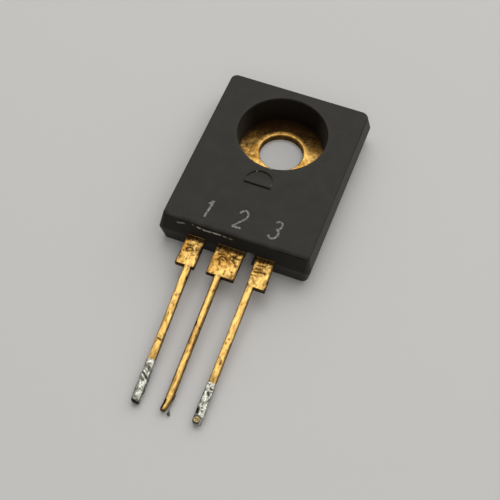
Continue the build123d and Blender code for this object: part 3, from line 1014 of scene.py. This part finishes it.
# Hollows, and drops where the depth is negative, placed by how far they lie to the side of the
# tail's middle and before its tip.
emitter_drops = [
    (-0.03, 0, 0.2, [(-0.1, -3)]),
    (-0.05, 0, 0.1, [(0.22, -2.85), (0.24, -2.5)]),
    (0.03, 0.8, 0.07, [(-0.14, -2.5), (0.04, -2.34), (0.12, -2.48), (0.03, -2.66)]),
    (0.05, 1, 0.065, [(-0.26, -2.25), (-0.1, -2.11), (0.16, -1.83), (0.29, -1.77)]),
    (-0.04, 0, 0.08, [(0.2, -2.27), (0.2, -2)]),
    (0.04, 0.85, 0.1, [(-0.04, -1.63)]),
    # The next two lines darken the right edge with painted shade.
    (0, 0.9, 0.06, [(0.33, -2.6), (0.32, -2)]),
    (0, 0.9, 0.06, [(0.33, -1.68), (0.31, -0.6)]),
    (-0.05, 0, 0.25, [(-0.05, -1.1), (0, -0.5)]),
    (0, 0.6, 0.06, [(0.12, -1.06)]),
    (0, 0.8, 0.06, [(0.07, -3.04)]),
    (0, 1, 0.04, [(-0.3, -0.05), (-0.04, -0.01), (0.3, -0.09)]),
]
base_drops = [
    (0.02, 0.5, 0.07, [(0, -3.08)]),
    (0.04, 1.2, 0.07, [(0.08, -2.72), (0.2, -2.66)]),
    (0.05, 1.5, 0.07, [(0.02, -2.38), (0.1, -2.2)]),
    (0, 1, 0.04, [(0.25, -2.47)]),
    (0, 1, 0.05, [(-0.24, -2.5), (-0.26, -2.2)]),
    (-0.06, 0, 0.07, [(0.28, -2.79), (0.3, -2.3), (0.2, -2.05), (0.14, -1.7)]),
    (-0.05, 0, 0.09, [(0.26, -1.59), (0.28, -1.33)]),
    (-0.03, 0, 0.15, [(-0.05, -1.55)]),
    (0.02, 0.5, 0.12, [(0, -1.3)]),
    (0.02, 1, 0.07, [(0.02, -1.11)]),
    (0, 1.6, 0.09, [(-0.2, -1), (-0.16, -0.66)]),
    (0, 0.7, 0.08, [(0.08, -0.85)]),
    (-0.05, 0, 0.07, [(0.26, -1.14), (0.26, -0.83), (0.28, -0.44)]),
]
shell, burnt, along, _ = solder_grid(emitter_tail, 3.4, emitter_drops, 91)
burnt = np.maximum(burnt, held((along + 0.05) / 0.1))
grid_piece(
    "solder_on_emitter", shell, old_solder.material, ["emitter_end_solder"],
    {"flux": burnt, "bare": np.zeros(burnt.shape)},
)

# The base lead's end is cut through, and its bare metal shows as a disc with a burnt rim.
shell, burnt, _, side = solder_grid(base_tail, 3.2, base_drops, 95)
disc_middle = np.array([base_tail[1] - 0.05, lead_tip + 0.13, tip_middle + 0.32])
from_disc = np.linalg.norm(shell - disc_middle, axis=-1)
bare_disc = held((0.23 - from_disc) / 0.04)
disc_rim = 0.9 * held((from_disc - 0.19) / 0.06) * held((0.4 - from_disc) / 0.1)
disc_rim *= np.clip((0.27 - side) / 0.1, 0.2, 1)
burnt = np.maximum(burnt * (1 - bare_disc), disc_rim)
grid_piece(
    "solder_on_base", shell, old_solder.material, ["base_end_solder"],
    {"flux": burnt, "bare": bare_disc},
)


# Burnt flux on the collector's tip
# Resin that ran off during soldering and charred. A bead of it sits on the tip's right edge and
# drew out into a thread as it cooled, which ends in a greenish drop beside the tip.

flux_path = np.array([
    (0.2, -23.78, 0.52),
    (0.33, -24.0, 0.46),
    (0.34, -24.6, 0.33),
    (0.31, -25.05, 0.22),
    (0.42, -25.56, 0.13),
])
flux_radii = np.array([0.03, 0.075, 0.018, 0.02, 0.125])


def flux_thread(count=90):
    """Tube along a bent line. Its radius swells and shrinks as a smooth step between the radii at
    the line's corners, and small random bumps roughen it."""
    run = np.r_[0, np.cumsum(np.linalg.norm(np.diff(flux_path, axis=0), axis=1))]
    place = np.linspace(0, run[-1], count)
    line = np.stack([np.interp(place, run, column) for column in flux_path.T], axis=1)
    corner = np.interp(place, run, np.arange(len(run)))
    share = corner % 1
    lower = np.minimum(corner.astype(int), len(run) - 2)
    share = np.where(corner >= len(run) - 1, 1, share)
    share = share * share * (3 - 2 * share)
    radius = flux_radii[lower] * (1 - share) + flux_radii[lower + 1] * share
    radius *= np.sqrt(np.clip(1.02 - (2 * place / run[-1] - 1) ** 30, 0.02, 1))
    around = once_round(14)
    across = np.stack([np.cos(around), 0 * around, np.sin(around)], axis=1)
    tube = line[:, None, :] + radius[:, None, None] * across
    return tube + across * (0.35 * radius[:, None] * bumps(tube, 0.09, 101))[..., None]


flux = Finish("burnt_flux", roughness=0.3)
cloud(flux, 0.12, 3, 0.35, 0.65, (0.02, 0.024, 0.015), (0.12, 0.15, 0.1))
grid_piece("flux_thread", flux_thread(), flux.material)


# Floor, light and camera
# A pale sheet under a large soft light from behind and above. A small one beside it gives the
# gold its sparks, and a weak one from the front right fills the shade. The camera looks down on
# the front face from beyond the lead ends.

floor_mesh = bpy.data.meshes.new("floor")
floor_mesh.from_pydata([(-3, -3, 0), (3, -3, 0), (3, 3, 0), (-3, 3, 0)], [], [(0, 1, 2, 3)])
floor = placed("floor", floor_mesh)
paper = Finish("paper", roughness=0.9, colour=(0.6, 0.59, 0.575))
floor_mesh.materials.append(paper.material)
light_aim = (0, -0.006, 0.0015)


def soft_light(name, place, size, power):
    """Square area light at a place, turned towards the part."""
    lamp = bpy.data.lights.new(name, "AREA")
    lamp.size = size
    lamp.energy = power
    light = placed(name, lamp)
    light.location = place
    away = light.location - type(light.location)(light_aim)
    light.rotation_mode = "QUATERNION"
    light.rotation_quaternion = away.to_track_quat("Z", "Y")


soft_light("key_light", (0.03, 0.2, 0.3), 0.58, 1.36)
soft_light("spark_light", (-0.067, 0.12, 0.3), 0.1, 0.07)
soft_light("front_light", (0.1, -0.24, 0.3), 0.2, 0.22)
world = bpy.data.worlds.new("studio")
world.use_nodes = True
background = world.node_tree.nodes["Background"]
background.inputs["Color"].default_value = (1.0, 0.985, 0.96, 1)
background.inputs["Strength"].default_value = 0.28
bpy.context.scene.world = world

camera_data = bpy.data.cameras.new("camera")
camera_data.sensor_width = 36
camera_data.lens = 85.2
camera_data.clip_start = 0.001
camera_data.clip_end = 20
camera = placed("camera", camera_data)
camera.location = (17.755 * MM, -58.62 * MM, 79.664 * MM)
camera.rotation_euler = tuple(math.radians(a) for a in (32.977, -1.045, 20.664))
bpy.context.scene.camera = camera
bpy.context.scene.view_settings.view_transform = "Standard"
